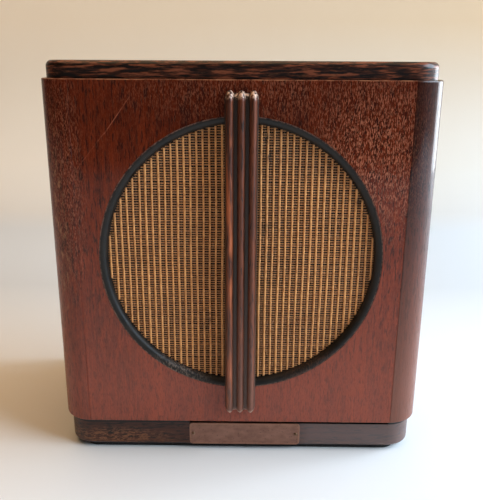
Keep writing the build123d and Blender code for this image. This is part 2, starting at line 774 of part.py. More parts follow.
def corrugated(start, end, waves, swing, thickness, steps=6):
    """Front and back outlines of a thin ring with circular corrugations, between (radius, y) points."""
    count = waves * steps
    front = []
    for n in range(count + 1):
        share = n / count
        fade = min(1.0, 4 * share, 4 * (1 - share))
        wave = swing * fade * math.sin(2 * math.pi * waves * share)
        radius = start[0] + share * (end[0] - start[0])
        y = start[1] + share * (end[1] - start[1])
        front.append((radius, y + wave))
    back = [(radius, y + thickness) for radius, y in reversed(front)]
    return front, back


def surround():
    """The corrugated edge that lets the cone move, with a flat rim under the gasket."""
    inner, outer = (CONE_R + GLUE_GAP, CONE_FRONT), (FRAME_OPEN_R, -SURROUND_T)
    front, back = corrugated(inner, outer, 2, 0.5, SURROUND_T)
    outline = front + [(SURROUND_RIM_R, -SURROUND_T), (SURROUND_RIM_R, 0.0)] + back
    return turned(outline, DRIVER_Y, GRILLE_Z)


def spider():
    """The corrugated disc that centres the coil, between the former and the basket's rear ring."""
    rim_front = BASKET_DEPTH - SPIDER_T
    inner, outer = (COIL_OUTER + GLUE_GAP, SPIDER_FRONT), (SPIDER_WAVES_R, rim_front)
    front, back = corrugated(inner, outer, 5, 0.8, SPIDER_T)
    outline = front + [(SPIDER_RIM_R, rim_front), (SPIDER_RIM_R, BASKET_DEPTH)] + back
    return turned(outline, DRIVER_Y, GRILLE_Z)


# ---- wiring --------------------------------------------------------------------------------

TAG_STRIP_Z = GRILLE_Z - 50.0
TAG_X = 11.0
TAG_STRIP_T = 1.6
TAG_STRIP_HALF = (18.0, 5.0)  # half width and height
TAG_HALF_W = 2.2
TAG_TAIL = 9.5  # a tag reaches this far below the strip's middle
TAG_T = 0.5
TAG_Y = DRIVER_Y + MAGNET_Y


def tag_strip():
    """An insulating strip on the rear ring of the basket, where the leads meet the cone's tails."""
    half_w, half_h = TAG_STRIP_HALF
    height = (TAG_STRIP_Z - half_h, TAG_STRIP_Z + half_h)
    return box((-half_w, half_w), (TAG_Y, TAG_Y + TAG_STRIP_T), height)


def solder_tags():
    """Two brass tags on the strip, each held by a rivet."""
    y = TAG_Y + TAG_STRIP_T
    rivet = rod(1.3, y + TAG_T, y + TAG_T + 0.6, z=1.0)
    tag = box((-TAG_HALF_W, TAG_HALF_W), (y, y + TAG_T), (-TAG_TAIL, 3.0)) + rivet
    return group(Pos(x, 0, TAG_STRIP_Z) * tag for x in (-TAG_X, TAG_X))


PIGTAIL_D = 1.1
PIGTAIL_DEPTH = 27.0  # how far behind the rim they leave the cone


def pigtails():
    """Flexible braided tails from the cone, out through a window of the basket, to the tags."""
    start_z = GRILLE_Z - cone_radius(PIGTAIL_DEPTH)
    tails = []
    for x in (-TAG_X, TAG_X):
        route = [
            (0.8 * x, DRIVER_Y + PIGTAIL_DEPTH + 1.6, start_z - 2.0),
            (x, DRIVER_Y + PIGTAIL_DEPTH + 6.0, start_z - 12.0),
            (x, DRIVER_Y + 38.0, GRILLE_Z - 64.0),
            (x, DRIVER_Y + BASKET_DEPTH, GRILLE_Z - 67.0),
            (x, DRIVER_Y + MAGNET_Y + 1.8, TAG_STRIP_Z - TAG_TAIL - 0.6),
        ]
        tails.append(tube(route, PIGTAIL_D))
    return group(tails)


TRAFO_SCREW = (2.8, 1.8, 1.6, 8.0)
TRAFO_FOOT = 12.0


def trafo_screw_places():
    reach = CORE_W / 2 + CLAMP_T + TRAFO_FOOT / 2
    return [(TRAFO_X - reach, TRAFO_Y), (TRAFO_X + reach, TRAFO_Y)]


def transformer_core():
    """A laminated core, round two windows and a middle limb."""
    core = box((-CORE_W / 2, CORE_W / 2), (-CORE_T / 2, CORE_T / 2), (0, CORE_H))
    inner = CORE_W / 2 - CORE_LIMB
    window = box((inner - CORE_WINDOW, inner), (-CORE_T, CORE_T), (CORE_LIMB, CORE_H - CORE_LIMB))
    return Pos(TRAFO_X, TRAFO_Y, Z_BODY) * (core - window - mirrored(window))


BOBBIN_PLAY = 0.3
BOBBIN_WALL = 0.9
WINDING_INSET = 0.8  # of the winding from the edges of the bobbin's cheeks


def bobbin_box(grow, z_inset):
    """A box round the middle limb, grown sideways, between the yokes."""
    half_x = CORE_W / 2 - CORE_LIMB - CORE_WINDOW + grow
    half_y = CORE_T / 2 + grow
    return box((-half_x, half_x), (-half_y, half_y), (CORE_LIMB + z_inset, CORE_H - CORE_LIMB - z_inset))


def transformer_bobbin():
    """A card tube round the middle limb, with a cheek at each end."""
    sleeve = bobbin_box(BOBBIN_PLAY + BOBBIN_WALL, BOBBIN_PLAY)
    between_cheeks = bobbin_box(CORE_WINDOW, BOBBIN_PLAY + BOBBIN_WALL)
    cheeks = bobbin_box(CORE_WINDOW - BOBBIN_PLAY, BOBBIN_PLAY) - between_cheeks
    bobbin = sleeve + cheeks - bobbin_box(BOBBIN_PLAY, -1)
    return Pos(TRAFO_X, TRAFO_Y, Z_BODY) * bobbin


def transformer_winding():
    clear_of_bobbin = BOBBIN_PLAY + BOBBIN_WALL + 0.02
    coil = bobbin_box(CORE_WINDOW - BOBBIN_PLAY - WINDING_INSET, clear_of_bobbin)
    coil = fillet(coil.edges().filter_by(Axis.Z), 2.5)
    return Pos(TRAFO_X, TRAFO_Y, Z_BODY) * (coil - bobbin_box(clear_of_bobbin, -1))


def transformer_clamp():
    """A steel strap over the core, with a screwed foot each side."""
    half_y, play = CLAMP_HALF_W, 0.1
    out_x, in_x = CORE_W / 2 + CLAMP_T, CORE_W / 2 + play
    strap = box((-out_x, out_x), (-half_y, half_y), (0, CORE_H + CLAMP_T))
    strap += box((-out_x - TRAFO_FOOT, out_x + TRAFO_FOOT), (-half_y, half_y), (0, CLAMP_T))
    strap -= box((-in_x, in_x), (-half_y - 1, half_y + 1), (-1, CORE_H + play))
    reach = out_x + TRAFO_FOOT / 2
    for x in (-reach, reach):
        strap -= Pos(x, 0, 0) * Cylinder(TRAFO_SCREW[2] + 0.1, 10)
    return Pos(TRAFO_X, TRAFO_Y, Z_BODY) * strap


def transformer_screws():
    screw = round_head_screw(*TRAFO_SCREW)
    return group(Pos(x, y, Z_BODY + CLAMP_T) * screw for x, y in trafo_screw_places())


def winding_face():
    """How far the transformer's winding stands out from the core's middle, front and back."""
    return CORE_T / 2 + CORE_WINDOW - BOBBIN_PLAY - WINDING_INSET


def input_leads():
    """From the inner ends of the terminals to the back of the transformer's winding."""
    leads = []
    for side, x in enumerate(terminal_places()):
        end_x = TRAFO_X + (2 * side - 1) * LEAD_X
        end_y = TRAFO_Y + winding_face()
        route = [
            (x, STEM_FRONT, TERMINAL_Z),
            (x, STEM_FRONT - 13, TERMINAL_Z),
            (x + 17, STEM_FRONT - 20, TERMINAL_Z - 12 - 4 * side),
            (end_x - 20, end_y + 20, Z_BODY + 11 + 3 * side),
            (end_x, end_y + 14, LEAD_Z),
            (end_x, end_y, LEAD_Z),
        ]
        leads.append(tube(route, LEAD_D))
    return group(leads)


def output_leads():
    """From the front of the transformer's winding up to the tags on the basket."""
    leads = []
    for side, x in enumerate((-TAG_X, TAG_X)):
        start_x = TRAFO_X + (2 * side - 1) * LEAD_X
        start_y = TRAFO_Y - winding_face()
        tag_y = TAG_Y + TAG_STRIP_T + TAG_T + LEAD_D / 2 + 0.1
        route = [
            (start_x, start_y, LEAD_Z),
            (start_x, start_y - 13, LEAD_Z),
            (start_x - 20, start_y - 19, LEAD_Z + 12),
            (x + 26, tag_y + 5 + 3 * side, TAG_STRIP_Z - 40),
            (x, tag_y, TAG_STRIP_Z - 22),
            (x, tag_y, TAG_STRIP_Z - 2.5),
        ]
        leads.append(tube(route, LEAD_D))
    return group(leads)


# ---- all pieces ----------------------------------------------------------------------------

post = corner_post()
side = side_panel()
upper_cleat = cleat(Z_TOP - BATTEN)
lower_cleat = cleat(Z_BODY)
batten_z = (Z_BODY, Z_TOP)
cross_x = (-SIDE_X + BATTEN, SIDE_X - BATTEN)

made["base_pad"] = base_pad()
made["base_board"] = base_board()
made["top_board"] = top_board()
made["front_panel"] = front_panel()
made["corner_post_right"] = post
made["corner_post_left"] = mirrored(post)
made["side_panel_right"] = side
made["side_panel_left"] = mirrored(side)
made["post_blocks"] = post_blocks()
made["top_cleats"] = both_sides(upper_cleat)
made["base_cleats"] = both_sides(lower_cleat)
made["cleat_screws"] = cleat_screws()
made["bezel_ring"] = bezel_ring()
made["reeded_bar"] = reeded_bar()
made["grille_cloth"] = grille_cloth()
made["sub_baffle"] = sub_baffle()
made["baffle_screws"] = baffle_screws()
made["name_plate"] = name_plate()
made["plate_pins"] = plate_pins()
made["back_cover"] = back_cover()
made["back_screws"] = back_screws()
made["back_batten_left"] = batten((-SIDE_X, -SIDE_X + BATTEN), batten_z)
made["back_batten_right"] = batten((SIDE_X - BATTEN, SIDE_X), batten_z)
made["back_batten_top"] = batten(cross_x, (Z_TOP - BATTEN, Z_TOP))
made["back_batten_bottom"] = batten(cross_x, (Z_BODY, Z_BODY + BATTEN))
made["terminal_panel"] = terminal_panel()
made["terminal_panel_screws"] = terminal_panel_screws()
made["terminal_bushes"] = terminal_bushes()
made["terminal_stems"] = terminal_stems()
made["terminal_nuts"] = terminal_nuts()
for name, x in (("left", -TERMINAL_X), ("right", TERMINAL_X)):
    made["terminal_collar_" + name] = terminal_collar(x)
    made["terminal_head_" + name] = terminal_head(x)
made["driver_gasket"] = driver_gasket()
made["driver_frame"] = driver_frame()
made["driver_bolts"] = driver_bolts()
made["driver_nuts"] = driver_nuts()
made["front_plate"] = front_plate()
made["magnet_pot"] = magnet_pot()
made["pole_piece"] = pole_piece()
made["magnet_slug"] = magnet_slug()
made["coil_former"] = coil_former()
made["coil_winding"] = coil_winding()
made["cone"] = cone()
made["dust_cap"] = dust_cap()
made["surround"] = surround()
made["spider"] = spider()
made["tag_strip"] = tag_strip()
made["solder_tags"] = solder_tags()
made["pigtails"] = pigtails()
made["transformer_core"] = transformer_core()
made["transformer_bobbin"] = transformer_bobbin()
made["transformer_winding"] = transformer_winding()
made["transformer_clamp"] = transformer_clamp()
made["transformer_screws"] = transformer_screws()
made["input_leads"] = input_leads()
made["output_leads"] = output_leads()

os.makedirs("parts", exist_ok=True)
for node, shape in made.items():
    export_step(shape, f"parts/{node}.step")
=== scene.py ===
"""Looks for the wooden table loudspeaker: camera, light, finishes, the woven grille and the soft parts.

Lengths are in millimetres of the part's frame (X to the right, Y to the back, Z up) until a mesh is made.
The camera and the lights are placed in metres of the same frame.
"""

import math

import bpy
import numpy as np
from mathutils import Matrix, Vector


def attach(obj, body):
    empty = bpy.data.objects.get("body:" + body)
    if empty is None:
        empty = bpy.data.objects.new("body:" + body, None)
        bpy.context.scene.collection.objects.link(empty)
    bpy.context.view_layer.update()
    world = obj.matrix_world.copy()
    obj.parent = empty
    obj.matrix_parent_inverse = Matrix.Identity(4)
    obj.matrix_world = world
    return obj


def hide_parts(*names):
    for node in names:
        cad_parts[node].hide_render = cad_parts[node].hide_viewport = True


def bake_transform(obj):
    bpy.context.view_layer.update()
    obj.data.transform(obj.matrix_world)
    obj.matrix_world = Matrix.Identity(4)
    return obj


MM = 0.001

# The cabinet, as in the CAD part
FRONT = -89.0
PANEL_BACK = -83.0
GRILLE_Z = 173.6
GRILLE_R = 105.6
RING_R = 111.65
BODY_LOW, BODY_HIGH = 29.0, 311.0
POST_SEAM_X = 127.5
BOARDS_APART_Z = 155.0  # the top board is above it, the base board below
JOINT_LOW, JOINT_HIGH = 25.2, 30.0  # the open joint between the base board and the body
BAR_LOW, BAR_HIGH = 39.5, 303.5
PLATE_X, PLATE_Z = 4.0, 15.4
PLATE_HALF_W, PLATE_HALF_H = 47.5, 10.25

# The driver, in depths behind the front face of its rim
DRIVER_Y = -67.8
CONE_EDGE_R, CONE_EDGE_DEPTH = 83.15, 2.5
SURROUND_R, SURROUND_RIM_R, SURROUND_T = 91.5, 96.0, 0.4
SPIDER_IN_R, SPIDER_R, SPIDER_RIM_R, SPIDER_T = 12.9, 46.0, 52.0, 0.5
SPIDER_FRONT, SPIDER_BACK = 41.0, 45.0
TAIL_X, TAIL_R = 11.0, 0.55
# Each flexible tail's line: depth, height over the driver's axis, share of TAIL_X
TAIL_STATIONS = (
    (26.6, -36.6, 0.8),
    (29.5, -40.0, 0.85),
    (33.5, -48.0, 1.0),
    (37.5, -57.5, 1.0),
    (41.5, -63.6, 1.0),
    (45.0, -65.0, 1.0),
    (48.0, -60.1, 1.0),
)

# The weave of the grille
CORD_PITCH = 4.93
WEFT_PITCH = 2.0
CORD_HALF_W, CORD_HALF_D = 0.86, 0.50
WEFT_HALF_W, WEFT_HALF_D = 0.50, 0.28
WARP_HALF_W, WARP_HALF_D = 0.36, 0.20
CORD_Y = -83.20
WEFT_BACK_Y, WEFT_FRONT_Y = -82.46, -83.05
WARP_Y = -82.50
GROUND_Y = -82.24
GROUND_HALF = 115.0
WEAVE_R = GRILLE_R - 0.12
THREAD_MARGIN = 0.5
SHORTEST_UPRIGHT, SHORTEST_WEFT = 2.0, 3.0
WEFT_POINTS_PER_CORD = 4

SIDEWAYS, BACKWARD, UPWARD = np.eye(3)

# The photograph's point of view, in metres and radians
CAMERA_PLACE = (0.00397, -0.56257, 0.32435)
CAMERA_YAW, CAMERA_PITCH, CAMERA_ROLL = 0.00735, 0.2919, 0.00598
CAMERA_LENS = 45.465

# Soft lights in metres: name, place, target, (width, height), watts, colour
LIGHTS = (
    ("ceiling", (-0.25, 0.0, 1.9), (0, 0.1, 0), (1.8, 1.8), 19.0, (1.0, 0.66, 0.36)),
    ("window", (1.9, -0.45, 1.25), (0, -0.6, 0.1), (2.0, 1.7), 118.0, (0.68, 0.84, 1.0)),
    ("low_window", (1.35, 0.58, 0.32), (0.1, 0, 0.15), (0.75, 0.62), 15.0, (0.84, 0.92, 1.0)),
)
ROOM_COLOUR, ROOM_STRENGTH = (1.0, 0.80, 0.60, 1.0), 0.04


def paint(red, green, blue):
    """A linear colour from 0-255 screen values."""
    shares = [value / 255 for value in (red, green, blue)]
    linear = [s / 12.92 if s <= 0.04045 else ((s + 0.055) / 1.055) ** 2.4 for s in shares]
    return (*linear, 1.0)


# ---- materials -----------------------------------------------------------------------------


class Look:
    """A node material. Its patterns are placed in millimetres of the piece's own frame."""

    def __init__(self, name, **shader):
        self.material = bpy.data.materials.new(name)
        self.material.use_nodes = True
        self.tree = self.material.node_tree
        self.shader = self.tree.nodes["Principled BSDF"]
        self.place = self.node("ShaderNodeTexCoord").outputs["Object"]
        for socket, value in shader.items():
            self.shader.inputs[socket.replace("_", " ")].default_value = value

    def node(self, kind, **settings):
        made = self.tree.nodes.new(kind)
        for key, value in settings.items():
            setattr(made, key, value)
        return made

    def feed(self, socket, value):
        if isinstance(value, bpy.types.NodeSocket):
            self.tree.links.new(value, socket)
        else:
            socket.default_value = value

    def stretched(self, per_mm, shift=0.0):
        """The place times a frequency along each axis, in cycles per millimetre."""
        vector = self.node("ShaderNodeVectorMath", operation="MULTIPLY_ADD")
        self.feed(vector.inputs[0], self.place)
        vector.inputs[1].default_value = [frequency / MM for frequency in per_mm]
        vector.inputs[2].default_value = (shift, shift * 0.7, shift * 1.3)
        return vector.outputs[0]

    def noise(self, per_mm, detail=2.0, roughness=0.5, warp=0.0, shift=0.0):
        texture = self.node("ShaderNodeTexNoise")
        self.feed(texture.inputs["Vector"], self.stretched(per_mm, shift))
        texture.inputs["Scale"].default_value = 1.0
        texture.inputs["Detail"].default_value = detail
        texture.inputs["Roughness"].default_value = roughness
        texture.inputs["Distortion"].default_value = warp
        return texture.outputs[0]

    def cells(self, per_mm):
        """Distance to the nearest of a scatter of points."""
        texture = self.node("ShaderNodeTexVoronoi")
        self.feed(texture.inputs["Vector"], self.stretched(per_mm))
        texture.inputs["Scale"].default_value = 1.0
        return texture.outputs["Distance"]

    def bands(self, per_mm, warp=0.0, shift=0.0):
        """Smooth stripes across the given direction."""
        texture = self.node("ShaderNodeTexWave", wave_type="BANDS", bands_direction="X")
        self.feed(texture.inputs["Vector"], self.along(per_mm, shift))
        texture.inputs["Scale"].default_value = 1.0
        texture.inputs["Distortion"].default_value = warp
        return texture.outputs["Fac"]

    def along(self, per_mm, shift=0.0):
        """A vector whose X is the phase along a direction, for stripes with a full turn per cycle."""
        dot = self.node("ShaderNodeVectorMath", operation="DOT_PRODUCT")
        self.feed(dot.inputs[0], self.place)
        dot.inputs[1].default_value = [frequency * math.pi / 10 / MM for frequency in per_mm]
        phase = self.maths("ADD", dot.outputs["Value"], shift)
        combined = self.node("ShaderNodeCombineXYZ")
        self.feed(combined.inputs[0], phase)
        return combined.outputs[0]

    def maths(self, operation, first, second=0.0):
        made = self.node("ShaderNodeMath", operation=operation)
        self.feed(made.inputs[0], first)
        self.feed(made.inputs[1], second)
        return made.outputs[0]

    def both(self, *masks):
        """The product of the masks and shares."""
        total = masks[0]
        for mask in masks[1:]:
            total = self.maths("MULTIPLY", total, mask)
        return total

    def either(self, *masks):
        """The strongest of the masks."""
        total = masks[0]
        for mask in masks[1:]:
            total = self.maths("MAXIMUM", total, mask)
        return total

    def span(self, value, low, high, out_low=0.0, out_high=1.0):
        """Maps low...high to out_low...out_high and holds it there outside."""
        made = self.node("ShaderNodeMapRange", clamp=True)
        for socket, amount in zip(made.inputs, (value, low, high, out_low, out_high)):
            self.feed(socket, amount)
        return made.outputs[0]

    def mix(self, share, first, second):
        """The first colour at share 0, the second at share 1."""
        made = self.node("ShaderNodeMix", data_type="RGBA")
        self.feed(made.inputs[0], share)
        self.feed(made.inputs[6], first)
        self.feed(made.inputs[7], second)
        return made.outputs[2]

    def reach(self, direction, origin=(0, 0, 0)):
        """How far, in mm, the place lies from an origin along a direction."""
        offset = self.node("ShaderNodeVectorMath", operation="SUBTRACT")
        self.feed(offset.inputs[0], self.place)
        offset.inputs[1].default_value = [value * MM for value in origin]
        dot = self.node("ShaderNodeVectorMath", operation="DOT_PRODUCT")
        self.feed(dot.inputs[0], offset.outputs[0])
        dot.inputs[1].default_value = [value / MM for value in direction]
        return dot.outputs["Value"]

    def spot(self, centre, radii, edge=0.5):
        """1 inside an ellipsoid, falling to 0 at its edge."""
        offset = self.node("ShaderNodeVectorMath", operation="SUBTRACT")
        self.feed(offset.inputs[0], self.place)
        offset.inputs[1].default_value = [value * MM for value in centre]
        shares = self.node("ShaderNodeVectorMath", operation="DIVIDE")
        self.feed(shares.inputs[0], offset.outputs[0])
        shares.inputs[1].default_value = [value * MM for value in radii]
        length = self.node("ShaderNodeVectorMath", operation="LENGTH")
        self.feed(length.inputs[0], shares.outputs[0])
        return self.span(length.outputs["Value"], 1.0, edge)

    def radius_from(self, x, z):
        """Distance in mm from a line along Y."""
        offset = self.node("ShaderNodeVectorMath", operation="SUBTRACT")
        self.feed(offset.inputs[0], self.place)
        offset.inputs[1].default_value = (x * MM, 0, z * MM)
        flat = self.node("ShaderNodeVectorMath", operation="MULTIPLY")
        self.feed(flat.inputs[0], offset.outputs[0])
        flat.inputs[1].default_value = (1 / MM, 0, 1 / MM)
        length = self.node("ShaderNodeVectorMath", operation="LENGTH")
        self.feed(length.inputs[0], flat.outputs[0])
        return length.outputs["Value"]

    def scratch(self, start, end, half_w):
        """A thin line on the front, from one (x, z) to another, broken up along its length."""
        run = Vector((end[0] - start[0], 0, end[1] - start[1]))
        origin = (start[0], 0, start[1])
        way = run.normalized()
        off = self.maths("ABSOLUTE", self.reach((way.z, 0, -way.x), origin))
        travelled = self.reach(way, origin)
        breaks = self.span(self.noise((0.3, 0.3, 0.3), shift=9.0), 0.35, 0.55, 0.3, 1.0)
        return self.both(
            self.span(off, half_w, half_w * 0.4),
            self.span(travelled, 0, 2),
            self.span(travelled, run.length, run.length - 2),
            breaks,
        )

    def finish(self, colour, roughness=None, bumps=()):
        """Joins the colour, the roughness pattern and (height, depth in mm) bumps to the shader."""
        self.feed(self.shader.inputs["Base Color"], colour)
        if roughness is not None:
            self.feed(self.shader.inputs["Roughness"], roughness)
        normal = None
        for height, depth in bumps:
            bump = self.node("ShaderNodeBump")
            bump.inputs["Strength"].default_value = 1.0
            bump.inputs["Distance"].default_value = depth * MM
            self.feed(bump.inputs["Height"], height)
            if normal is not None:
                self.feed(bump.inputs["Normal"], normal)
            normal = bump.outputs[0]
        if normal is not None:
            self.feed(self.shader.inputs["Normal"], normal)
        return self.material


def grain(axis, across, lengthways):
    """Frequencies for a pattern drawn out along one axis."""
    return tuple(lengthways if n == axis else across for n in range(3))


X_GRAIN, Z_GRAIN = 0, 2


def wood(look, axis, dark, light, pore, depth=0.8):
    """The figure of a close-grained wood: broad bands, streaks, fine lines and dark pores."""
    broad = look.span(look.noise(grain(axis, 0.035, 0.004), 2, warp=0.4), 0.30, 0.70)
    streak = look.span(look.noise(grain(axis, 0.34, 0.014), 3, 0.6, shift=3.0), 0.38, 0.66)
    fine = look.span(look.noise(grain(axis, 0.62, 0.05), 2, 0.6, shift=5.0), 0.40, 0.62)
    pores = look.span(look.noise(grain(axis, 0.66, 0.10), 2, 0.5, shift=8.0), 0.55, 0.63)
    colour = look.mix(broad, dark, light)
    colour = look.mix(look.both(streak, 0.7), colour, dark)
    colour = look.mix(look.both(fine, 0.45), colour, light)
    colour = look.mix(look.both(pores, depth), colour, pore)
    return colour, pores, fine


def veneer():
    """The varnished mahogany of the front, the posts and the sides."""
    look = Look(
        "mahogany_veneer",
        Roughness=0.42,
        Specular_IOR_Level=0.08,
        Coat_Weight=0.5,
        Coat_Roughness=0.10,
    )
    colour, pores, fine = wood(look, Z_GRAIN, paint(70, 17, 3), paint(154, 55, 17), paint(18, 4, 1))
    height = look.reach((0, 0, 1))

    # Painted floor light: paler and pinker low down, standing for the varnish's reflection of the floor and
    # its bounce light; painted shade: darker towards the top
    colour = look.mix(look.span(height, 200, 60, 0.0, 0.46), colour, paint(170, 92, 74))
    colour = look.mix(look.span(height, 170, 285, 0.0, 0.62), colour, paint(46, 9, 2))

    # Short pale and dark flecks in the figure, dense over the upper right of the front
    region = look.either(
        look.spot((100, FRONT, 255), (66, 70, 78), 0.25),
        look.both(look.spot((-138, FRONT, 235), (22, 60, 110), 0.4), 0.55),
        look.both(look.spot((20, FRONT, 300), (130, 60, 26), 0.2), 0.40),
    )
    pale = look.span(look.noise((1.7, 1.7, 0.42), 2, 0.55, warp=0.2, shift=21.0), 0.50, 0.60)
    pale = look.both(pale, look.span(region, 0.0, 1.0, 0.08, 0.92))
    colour = look.mix(pale, colour, paint(180, 108, 78))
    dark = look.span(look.noise((1.4, 1.4, 0.30), 2, 0.55, shift=51.0), 0.53, 0.61)
    dark = look.both(dark, look.span(region, 0.0, 1.0, 0.25, 0.85))
    colour = look.mix(dark, colour, paint(28, 13, 6))

    # Worn lines along the body's top and bottom edges, rubbed patches down its left edge
    ragged = look.noise((0.12, 0.12, 0.12), 3, shift=2.0)
    top_line = look.both(look.span(height, BODY_HIGH - 1.0, BODY_HIGH - 0.4), look.span(ragged, 0.42, 0.62))
    low_line = look.both(look.span(height, BODY_LOW + 1.3, BODY_LOW + 0.5), look.span(ragged, 0.46, 0.62))
    left_edge = look.spot((-141, FRONT, 205), (9, 40, 95), 0.3)
    rubbed = look.both(left_edge, look.span(look.noise((0.35, 0.35, 0.10), 3, 0.7, shift=31.0), 0.54, 0.64))
    worn = look.either(look.both(top_line, 0.45), look.both(low_line, 0.35), look.both(rubbed, 0.75))
    colour = look.mix(worn, colour, paint(176, 120, 84))
    long_mark = look.scratch((-81.7, 299.0), (-103.2, 270.0), 0.45)
    faint_mark = look.scratch((-99.0, 276.0), (-126.0, 243.0), 0.45)
    marks = look.either(look.both(long_mark, 0.6), look.both(faint_mark, 0.35))
    colour = look.mix(marks, colour, paint(168, 92, 66))

    # The right post, a separate piece of wood, is painted nearly black above as painted shade and grey-brown
    # below as a painted reflection of the floor
    post = look.span(look.reach((1, 0, 0)), POST_SEAM_X - 0.3, POST_SEAM_X + 0.3)
    post_shade_and_sheen = look.mix(look.span(height, 70, 230), paint(112, 74, 60), paint(22, 10, 5))
    colour = look.mix(look.both(post, 0.72), colour, post_shade_and_sheen)

    dull = look.span(look.noise((0.02, 0.02, 0.02), 3, 0.6, shift=14.0), 0.3, 0.7, 0.32, 0.50)
    roughness = look.maths("ADD", dull, look.both(pores, 0.25))
    bumps = [(look.maths("SUBTRACT", 1.0, pores), 0.05), (fine, 0.025)]
    return look.finish(colour, roughness, bumps)


def dark_boards():
    """The nearly black top board, streaked with brown, and the worn base board."""
    look = Look(
        "dark_stained_board",
        Roughness=0.48,
        Specular_IOR_Level=0.2,
        Coat_Weight=0.35,
        Coat_Roughness=0.16,
    )
    colour, pores, fine = wood(look, X_GRAIN, paint(32, 13, 6), paint(80, 38, 20), paint(10, 5, 3), 0.9)
    height = look.reach((0, 0, 1))
    upper = look.span(height, BOARDS_APART_Z - 5, BOARDS_APART_Z + 5)
    bars = look.noise((0.05, 0.05, 0.45), 3, 0.65, shift=23.0)
    streaks = look.both(upper, look.span(bars, 0.52, 0.60))
    colour = look.mix(look.both(streaks, 0.80), colour, paint(132, 70, 44))
    shadows = look.both(upper, look.span(bars, 0.50, 0.42))
    colour = look.mix(look.both(shadows, 0.92), colour, paint(10, 5, 3))

    # Wear along the base board's bottom edge, at its left corner and in faint blotches
    ragged = look.noise((0.05, 0.05, 0.3), 4, 0.7, shift=6.0)
    foot_edge = look.both(look.span(height, 12, 5), look.span(ragged, 0.50, 0.62))
    specks = look.noise((0.22, 0.22, 0.75), 4, 0.75, shift=29.0)
    corner = look.both(look.spot((-108, -80, 11), (62, 40, 12), 0.3), look.span(specks, 0.47, 0.58))
    blotches = look.span(look.noise((0.08, 0.08, 0.35), 4, 0.7, shift=17.0), 0.58, 0.68)
    worn = look.either(look.both(foot_edge, 0.6), look.both(corner, 0.8), look.both(blotches, 0.25))
    colour = look.mix(worn, colour, paint(142, 88, 54))

    # Painted sheen: the base board's right half is greyed as a painted reflection of the floor
    lower = look.span(height, 60, 50)
    grey = look.both(lower, look.span(look.reach((1, 0, 0)), 30, 60))
    colour = look.mix(look.both(grey, 0.50), colour, paint(128, 110, 106))

    # Painted shade in the open joint above the base board's front, near black
    joint_shade = look.both(
        look.span(height, JOINT_LOW, JOINT_LOW + 0.3),
        look.span(height, JOINT_HIGH + 1.0, JOINT_HIGH),
    )
    colour = look.mix(joint_shade, colour, paint(9, 6, 5))
    roughness = look.span(ragged, 0.3, 0.7, 0.36, 0.58)
    return look.finish(colour, roughness, [(look.maths("SUBTRACT", 1.0, pores), 0.06), (fine, 0.03)])


def moulding():
    """The reeded bar: reddish brown reeds, rubbed bright in places, over grooves darkened with painted shade;
    paler low down with a painted floor reflection, and pale chips on the reed ends that are partly painted
    highlights.
    """
    look = Look(
        "reeded_moulding",
        Roughness=0.46,
        Specular_IOR_Level=0.25,
        Coat_Weight=0.3,
        Coat_Roughness=0.26,
    )
    colour, pores, fine = wood(look, Z_GRAIN, paint(52, 22, 12), paint(104, 52, 30), paint(26, 12, 8))
    proud = look.reach((0, -1, 0), (0, FRONT, 0))
    # Painted shade: the grooves between the reeds are darkened
    groove_shade = look.span(proud, 6.6, 5.4)
    colour = look.mix(look.both(groove_shade, 0.9), colour, paint(46, 37, 32))
    height = look.reach((0, 0, 1))
    patches = look.span(look.noise((0.16, 0.16, 0.02), 3, 0.6, shift=12.0), 0.44, 0.62)
    left_reed = look.span(look.reach((1, 0, 0)), -4.0, -6.5)
    worn = look.both(patches, look.span(proud, 5.5, 8.0), look.span(left_reed, 0, 1, 0.20, 0.95))
    colour = look.mix(worn, colour, paint(178, 92, 50))
    # Painted floor reflection: the bar is paler towards the bottom
    colour = look.mix(look.span(height, 160, 60, 0.0, 0.30), colour, paint(142, 100, 84))
    # Pale chips on the reed ends, partly real wear and partly a painted highlight where light catches the
    # noses
    noses = look.either(
        look.span(height, BAR_HIGH - 7, BAR_HIGH - 3),
        look.span(height, BAR_LOW + 6, BAR_LOW + 2),
    )
    chips_and_glints = look.both(noses, look.span(look.noise((0.42, 0.42, 0.42), 3, 0.6, shift=4.0), 0.47, 0.56))
    colour = look.mix(look.both(chips_and_glints, 0.9), colour, paint(226, 186, 160))
    return look.finish(colour, None, [(look.maths("SUBTRACT", 1.0, pores), 0.04), (fine, 0.03)])


def ebonised():
    """The black ring, its rim chipped and its lower part scuffed at the left and the right; the pale left
    scuff is partly a painted highlight.
    """
    look = Look("ebonised_ring", Roughness=0.55, Specular_IOR_Level=0.35)
    grime = look.noise((0.10, 0.10, 0.10), 4, 0.65)
    colour = look.mix(look.span(grime, 0.35, 0.65), paint(13, 11, 9), paint(34, 28, 22))
    radius = look.radius_from(0, GRILLE_Z)
    rim = look.span(radius, RING_R - 1.1, RING_R - 0.5)
    chips = look.span(look.noise((0.3, 0.3, 0.3), 4, 0.7, shift=5.0), 0.40, 0.58)
    # The pale left scuff is partly real scuffing and partly a painted highlight where the ring's lower curve
    # faces up
    left_scuff_and_highlight = look.spot((-50, FRONT, 78), (34, 30, 20), 0.2)
    right_scuff = look.spot((64, FRONT, 76), (38, 30, 26), 0.2)
    rough = look.span(look.noise((0.7, 0.7, 0.25), 4, 0.7, shift=7.0), 0.48, 0.60)
    colour = look.mix(look.both(rim, chips, 0.8), colour, paint(128, 92, 76))
    colour = look.mix(look.both(left_scuff_and_highlight, rough, 0.7), colour, paint(132, 112, 98))
    colour = look.mix(look.both(right_scuff, rough, 0.7), colour, paint(96, 62, 48))
    return look.finish(colour, look.span(grime, 0.3, 0.7, 0.40, 0.60), [(grime, 0.15), (chips, 0.03)])


